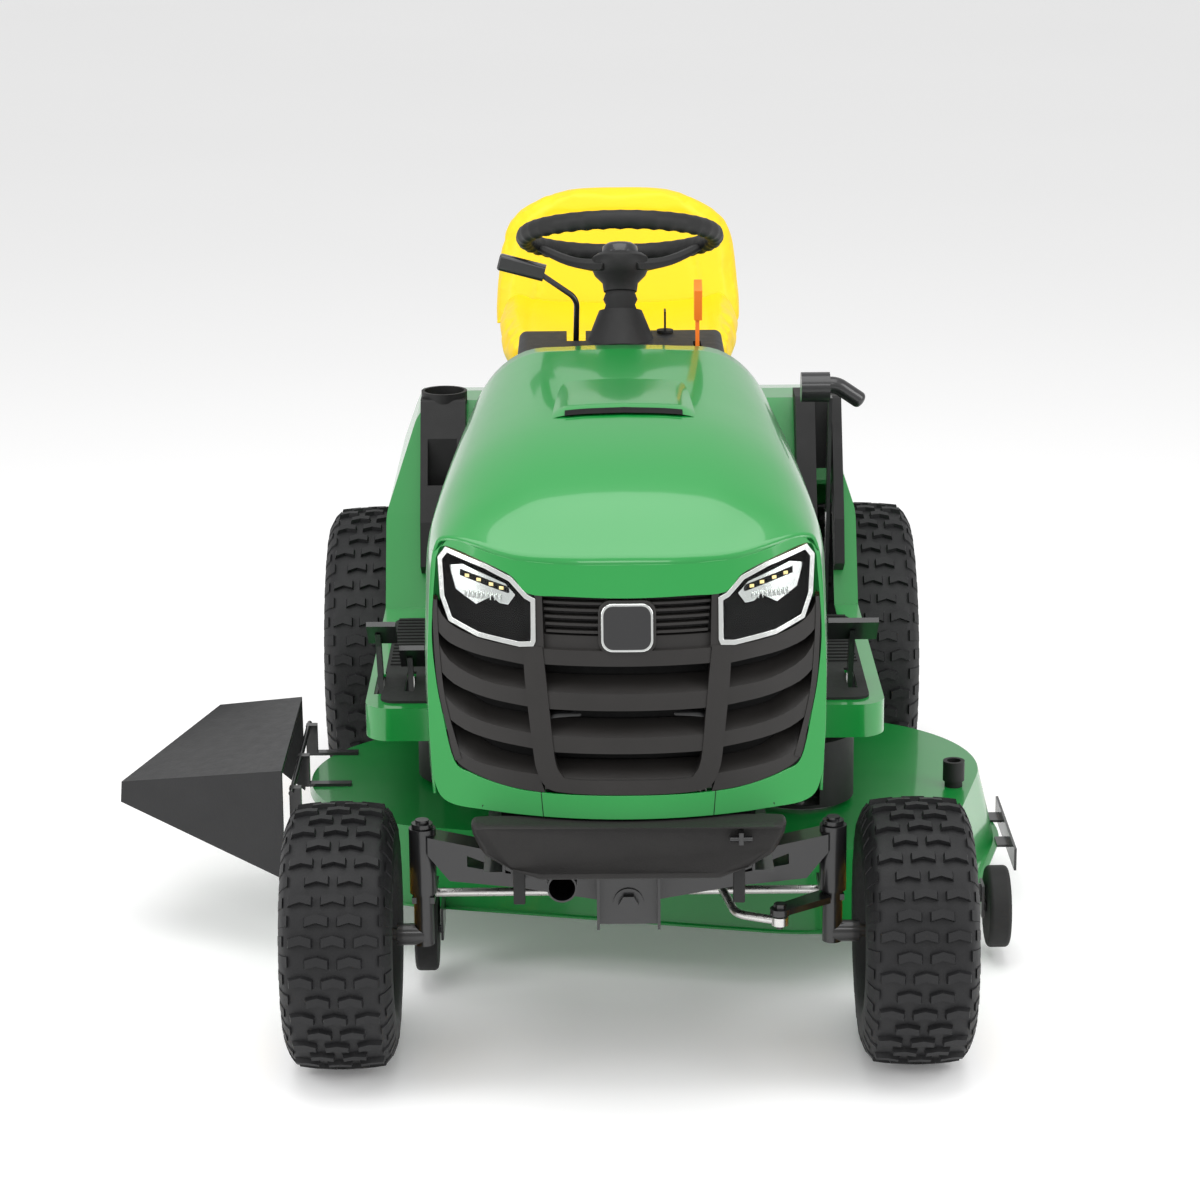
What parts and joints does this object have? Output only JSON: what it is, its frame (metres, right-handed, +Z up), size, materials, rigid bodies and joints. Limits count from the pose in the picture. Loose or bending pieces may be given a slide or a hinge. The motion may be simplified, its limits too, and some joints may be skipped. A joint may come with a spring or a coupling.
{
  "type": "riding lawn mower",
  "caption": "Front-engine lawn tractor with a hinged hood, steered front wheels, tilting seat and a lifting side-discharge mower deck with spinning blades.",
  "frame": {"origin": "on the ground under the middle of the machine's bounding box", "axes": "+Z up, -Y the way the tractor drives, +X its left side as the driver sits"},
  "size_m": [1.403, 1.765, 1.1137],
  "materials": {
    "green_paint": "glossy green paint",
    "yellow_paint": "glossy yellow paint",
    "black_paint": "semi-gloss black paint",
    "green_plastic": "glossy moulded green plastic",
    "black_plastic": "fine-textured black plastic",
    "steel": "zinc-plated steel",
    "cast_alloy": "cast alloy",
    "tyre_rubber": "black tyre rubber",
    "rubber": "black rubber",
    "seat_cover": "yellow grained seat cover",
    "lens": "clear lens",
    "fuel_plastic": "translucent white plastic"
  },
  "bodies": {
    "chassis": {"frame": "black_paint", "hitch_plate": "black_paint", "front_bumper": "black_plastic", "axle_pivot": "black_paint", "steering_support": "black_paint", "engine_block": "cast_alloy", "blower_housing": "black_plastic", "muffler": "black_paint", "fuel_tank": "fuel_plastic", "battery": "black_plastic", "drive_belt": "rubber", "transaxle": "cast_alloy", "fender_deck": "green_plastic", "foot_mats": "rubber", "consoles": "black_plastic", "dash_panel": "black_plastic"},
    "front_axle": {"front_axle": "black_paint"},
    "left_knuckle": {"left_spindle": "black_paint"},
    "right_knuckle": {"right_spindle": "black_paint"},
    "tie_rod": {"tie_rod": "steel"},
    "drag_link": {"drag_link": "steel"},
    "steering_sector": {"sector_gear": "steel"},
    "steering_column": {"steering_shaft": "steel", "steering_wheel": "black_plastic"},
    "front_left_wheel": {"front_left_tyre": "tyre_rubber", "front_left_rim": "yellow_paint"},
    "front_right_wheel": {"front_right_tyre": "tyre_rubber", "front_right_rim": "yellow_paint"},
    "rear_left_wheel": {"rear_left_tyre": "tyre_rubber", "rear_left_rim": "yellow_paint"},
    "rear_right_wheel": {"rear_right_tyre": "tyre_rubber", "rear_right_rim": "yellow_paint"},
    "hood_assembly": {"hood": "green_plastic", "grille": "black_plastic", "headlight_housings": "black_plastic", "headlight_lenses": "lens", "hood_hinge": "black_paint"},
    "seat_slide": {"seat_bracket": "black_paint"},
    "seat_assembly": {"seat_pan": "black_paint", "seat": "seat_cover"},
    "mower_deck": {"deck_shell": "green_paint", "mandrel_housings": "cast_alloy", "belt_covers": "black_plastic", "mower_belt": "rubber", "deck_brackets": "black_paint", "wash_port": "black_plastic"},
    "left_blade": {"left_blade": "black_paint"},
    "right_blade": {"right_blade": "black_paint"},
    "left_gauge_wheel": {"left_gauge_wheel": "rubber"},
    "right_gauge_wheel": {"right_gauge_wheel": "rubber"},
    "chute": {"discharge_chute": "black_plastic"},
    "lift_lever": {"lift_lever": "black_paint"},
    "crankshaft": {"crankshaft": "steel"},
    "transaxle_pulley": {"transaxle_pulley": "black_paint"},
    "brake_pedal": {"brake_pedal": "black_paint"},
    "forward_pedal": {"forward_pedal": "black_paint"},
    "reverse_pedal": {"reverse_pedal": "black_paint"},
    "pto_lever": {"pto_lever": "black_paint"},
    "throttle_lever": {"throttle_lever": "black_plastic"},
    "ignition_key": {"ignition_key": "black_plastic"}
  },
  "joints": [
    {"name": "front_axle_tilt", "type": "hinge", "parent": "chassis", "child": "front_axle", "pos_m": [0.0835, -0.6425, 0.259], "axis": [0, 1, 0], "range_deg": [-2, 2]},
    {"name": "left_steer", "type": "hinge", "parent": "front_axle", "child": "left_knuckle", "pos_m": [0.3715, -0.6425, 0.3], "axis": [0, 0, 1], "range_deg": [-22, 22]},
    {"name": "right_steer", "type": "hinge", "parent": "front_axle", "child": "right_knuckle", "pos_m": [-0.2045, -0.6425, 0.3], "axis": [0, 0, 1], "range_deg": [-24.5, 24.5]},
    {"name": "drag_link_turn", "type": "hinge", "parent": "left_knuckle", "child": "drag_link", "pos_m": [0.2941, -0.7058, 0.229], "axis": [-0.0469, 0, 0.9989], "range_deg": [-24.5, 24.5]},
    {"name": "tie_rod_turn", "type": "hinge", "parent": "left_knuckle", "child": "tie_rod", "pos_m": [0.3715, -0.5625, 0.222], "axis": [0, 0, 1], "range_deg": [-24.5, 24.5]},
    {"name": "sector_turn", "type": "hinge", "parent": "chassis", "child": "steering_sector", "pos_m": [0.2095, -0.0905, 0.378], "axis": [0, 0.3338, 0.9426], "range_deg": [-24.5, 24.5]},
    {"name": "steering_turn", "type": "hinge", "parent": "chassis", "child": "steering_column", "pos_m": [0.0835, 0.1475, 1.05], "axis": [0, 0.3338, 0.9426], "range_deg": [-122, 122]},
    {"name": "front_left_spin", "type": "hinge", "parent": "left_knuckle", "child": "front_left_wheel", "pos_m": [0.4875, -0.6425, 0.189], "axis": [1, 0, 0], "continuous": true},
    {"name": "front_right_spin", "type": "hinge", "parent": "right_knuckle", "child": "front_right_wheel", "pos_m": [-0.3205, -0.6425, 0.189], "axis": [1, 0, 0], "continuous": true},
    {"name": "rear_left_spin", "type": "hinge", "parent": "chassis", "child": "rear_left_wheel", "pos_m": [0.488, 0.5975, 0.25], "axis": [1, 0, 0], "continuous": true},
    {"name": "rear_right_spin", "type": "hinge", "parent": "chassis", "child": "rear_right_wheel", "pos_m": [-0.321, 0.5975, 0.25], "axis": [1, 0, 0], "continuous": true},
    {"name": "hood_open", "type": "hinge", "parent": "chassis", "child": "hood_assembly", "pos_m": [0.0835, -0.8545, 0.402], "axis": [1, 0, 0], "range_deg": [0, 65]},
    {"name": "seat_slide", "type": "slide", "parent": "chassis", "child": "seat_slide", "axis": [0, 1, 0], "range_m": [-0.03, 0.05]},
    {"name": "seat_tilt", "type": "hinge", "parent": "seat_slide", "child": "seat_assembly", "pos_m": [0.0835, 0.4025, 0.752], "axis": [1, 0, 0], "range_deg": [0, 50]},
    {"name": "deck_lift", "type": "slide", "parent": "chassis", "child": "mower_deck", "axis": [0, 0, 1], "range_m": [-0.012, 0.03], "deforming": ["mower_belt"]},
    {"name": "lift_lever_turn", "type": "hinge", "parent": "chassis", "child": "lift_lever", "pos_m": [0.0835, 0.2675, 0.352], "axis": [-1, 0, 0], "range_deg": [-8.5, 20.5]},
    {"name": "crankshaft_spin", "type": "hinge", "parent": "chassis", "child": "crankshaft", "pos_m": [0.0835, -0.4125, 0.3], "axis": [0, 0, 1], "continuous": true},
    {"name": "left_blade_spin", "type": "hinge", "parent": "mower_deck", "child": "left_blade", "pos_m": [0.3565, -0.1025, 0.2], "axis": [0, 0, 1], "continuous": true},
    {"name": "right_blade_spin", "type": "hinge", "parent": "mower_deck", "child": "right_blade", "pos_m": [-0.1595, 0.0175, 0.2], "axis": [0, 0, 1], "continuous": true},
    {"name": "transaxle_pulley_spin", "type": "hinge", "parent": "chassis", "child": "transaxle_pulley", "pos_m": [0.0835, 0.5975, 0.32], "axis": [0, 0, 1], "continuous": true},
    {"name": "left_gauge_spin", "type": "hinge", "parent": "mower_deck", "child": "left_gauge_wheel", "pos_m": [0.6495, -0.2645, 0.082], "axis": [1, 0, 0], "continuous": true},
    {"name": "right_gauge_spin", "type": "hinge", "parent": "mower_deck", "child": "right_gauge_wheel", "pos_m": [-0.2165, -0.3405, 0.082], "axis": [1, 0, 0], "continuous": true},
    {"name": "chute_lift", "type": "hinge", "parent": "mower_deck", "child": "chute", "pos_m": [-0.4285, -0.0225, 0.252], "axis": [0, 1, 0], "range_deg": [0, 75], "stiffness_Nm_per_rad": 0.8, "springref_deg": -22.92},
    {"name": "brake_pedal_press", "type": "hinge", "parent": "chassis", "child": "brake_pedal", "pos_m": [0.4285, -0.0025, 0.39], "axis": [1, 0, 0], "range_deg": [0, 12], "stiffness_Nm_per_rad": 18, "springref_deg": -14.32},
    {"name": "forward_pedal_press", "type": "hinge", "parent": "chassis", "child": "forward_pedal", "pos_m": [-0.2885, -0.0025, 0.39], "axis": [1, 0, 0], "range_deg": [-5, 5], "stiffness_Nm_per_rad": 12},
    {"name": "reverse_pedal_press", "type": "hinge", "parent": "chassis", "child": "reverse_pedal", "pos_m": [-0.2425, -0.0025, 0.39], "axis": [1, 0, 0], "range_deg": [-5.5, 5.5]},
    {"name": "pto_lever_turn", "type": "hinge", "parent": "chassis", "child": "pto_lever", "pos_m": [0.0135, 0.1275, 0.76], "axis": [1, 0, 0], "range_deg": [0, 10]},
    {"name": "throttle_turn", "type": "hinge", "parent": "chassis", "child": "throttle_lever", "pos_m": [0.2015, 0.0275, 0.85], "axis": [1, 0, 0], "range_deg": [-12, 12]},
    {"name": "ignition_turn", "type": "hinge", "parent": "chassis", "child": "ignition_key", "pos_m": [0.1535, 0.1275, 0.9], "axis": [0, 0, 1], "range_deg": [0, 60]}
  ],
  "couplings": [
    {"joint": "right_steer", "follows": "left_steer", "ratio": 1},
    {"joint": "drag_link_turn", "follows": "left_steer", "ratio": -1},
    {"joint": "tie_rod_turn", "follows": "left_steer", "ratio": -1},
    {"joint": "sector_turn", "follows": "left_steer", "ratio": 1},
    {"joint": "steering_turn", "follows": "left_steer", "ratio": -5},
    {"joint": "lift_lever_turn", "follows": "deck_lift", "rad_per_m": 11.628},
    {"joint": "left_blade_spin", "follows": "crankshaft_spin", "ratio": 0.7411},
    {"joint": "right_blade_spin", "follows": "crankshaft_spin", "ratio": 0.7411},
    {"joint": "transaxle_pulley_spin", "follows": "crankshaft_spin", "ratio": 0.8367},
    {"joint": "reverse_pedal_press", "follows": "forward_pedal_press", "ratio": -1}
  ]
}
